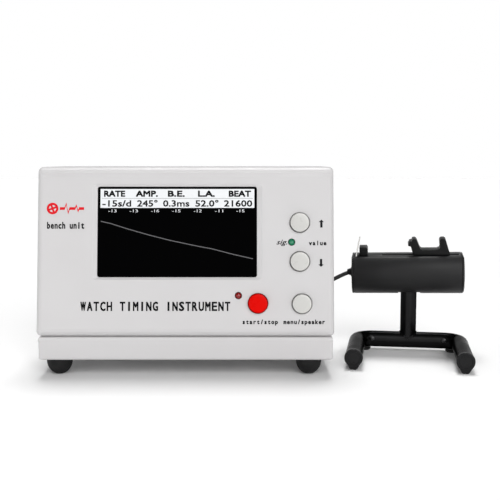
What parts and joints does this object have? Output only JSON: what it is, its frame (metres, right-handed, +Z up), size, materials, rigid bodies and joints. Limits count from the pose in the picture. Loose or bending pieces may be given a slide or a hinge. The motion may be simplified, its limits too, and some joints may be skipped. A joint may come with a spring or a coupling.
{
  "type": "timegrapher",
  "caption": "Watchmaker's timegrapher: pale box with a screen and round keys, joined by a coiled cable to a black tube stand whose rolling tube clamps a watch in two jaws.",
  "frame": {"origin": "on the table, under the middle of everything but the free cable", "axes": "+Z up, -Y towards the user, +X to the user's right; the stand is at +X"},
  "size_m": [0.2809, 0.1312, 0.129],
  "materials": {
    "case_paint": "pale grey powder coat with a fine texture",
    "window_black": "dark glossy window",
    "display": "dark display module",
    "button_grey": "satin pale grey",
    "button_red": "satin red",
    "black_plastic": "black, satin",
    "led_green": "tinted green resin",
    "led_red": "tinted red resin",
    "circuit_board": "green solder mask",
    "black_rubber": "matte black",
    "nickel": "nickel plate",
    "black_enamel": "glossy black enamel",
    "steel": "bright steel",
    "brass": "plain brass"
  },
  "bodies": {
    "main_unit_and_stand": {"base_tray": "case_paint", "front_shell": "case_paint", "top_cover": "case_paint", "rear_panel": "case_paint", "screen_window": "window_black", "display_module": "display", "up_switch": "black_plastic", "down_switch": "black_plastic", "menu_switch": "black_plastic", "start_stop_switch": "black_plastic", "speaker": "black_plastic", "power_switch_housing": "black_plastic", "signal_lamp": "led_green", "status_lamp": "led_red", "key_board": "circuit_board", "main_board": "circuit_board", "case_foot_front_left": "black_rubber", "case_foot_front_right": "black_rubber", "case_foot_rear_left": "black_rubber", "case_foot_rear_right": "black_rubber", "leg_cap_left": "black_rubber", "leg_cap_right": "black_rubber", "rear_foot_left": "black_rubber", "rear_foot_right": "black_rubber", "plug_boot": "black_rubber", "cable_lead": "black_rubber", "cable_tail": "black_rubber", "cable_coil": "black_rubber", "rear_screw_1": "nickel", "rear_screw_2": "nickel", "rear_screw_3": "nickel", "rear_screw_4": "nickel", "power_jack": "nickel", "sensor_socket": "nickel", "sensor_plug": "nickel", "bar_screw_left": "nickel", "bar_screw_right": "nickel", "stand_base_tube": "black_enamel", "stand_post": "black_enamel", "post_head": "steel"},
    "up_button": {"up_button": "button_grey"},
    "down_button": {"down_button": "button_grey"},
    "menu_button": {"menu_button": "button_grey"},
    "start_stop_button": {"start_stop_button": "button_red"},
    "power_rocker": {"power_rocker": "black_plastic"},
    "mic_head": {"mic_tube": "black_plastic", "tube_cap_left": "black_plastic", "tube_cap_right": "black_plastic", "cable_grommet": "black_rubber", "pivot_plate_left": "steel", "pivot_plate_right": "steel", "pivot_axle": "steel", "friction_washer": "black_rubber", "fixed_jaw": "black_plastic", "contact_blade": "steel", "piezo_disc": "brass", "preamp_board": "circuit_board", "guide_rod": "steel", "jaw_spring": "steel"},
    "sliding_jaw": {"sliding_jaw": "black_plastic"}
  },
  "joints": [
    {"name": "up_press", "type": "slide", "parent": "main_unit_and_stand", "child": "up_button", "axis": [0, 0.9882, -0.153], "range_m": [0, 0.0012], "stiffness_N_per_m": 400},
    {"name": "down_press", "type": "slide", "parent": "main_unit_and_stand", "child": "down_button", "axis": [0, 0.9882, -0.153], "range_m": [0, 0.0012], "stiffness_N_per_m": 400},
    {"name": "menu_press", "type": "slide", "parent": "main_unit_and_stand", "child": "menu_button", "axis": [0, 0.9882, -0.153], "range_m": [0, 0.0012], "stiffness_N_per_m": 400},
    {"name": "start_stop_press", "type": "slide", "parent": "main_unit_and_stand", "child": "start_stop_button", "axis": [0, 0.9882, -0.153], "range_m": [0, 0.0012], "stiffness_N_per_m": 400},
    {"name": "rocker_tilt", "type": "hinge", "parent": "main_unit_and_stand", "child": "power_rocker", "pos_m": [0.013, 0.0309, 0.042], "axis": [1, 0, 0], "range_deg": [-16, 0]},
    {"name": "mic_roll", "type": "hinge", "parent": "main_unit_and_stand", "child": "mic_head", "pos_m": [0.1017, 0.0303, 0.0558], "axis": [0.9869, -0.1598, 0.0218], "range_deg": [-90, 0]},
    {"name": "jaw_slide", "type": "slide", "parent": "mic_head", "child": "sliding_jaw", "axis": [0.9869, -0.1598, 0.0218], "range_m": [-0.026, 0.007], "deforming": ["jaw_spring"]}
  ]
}
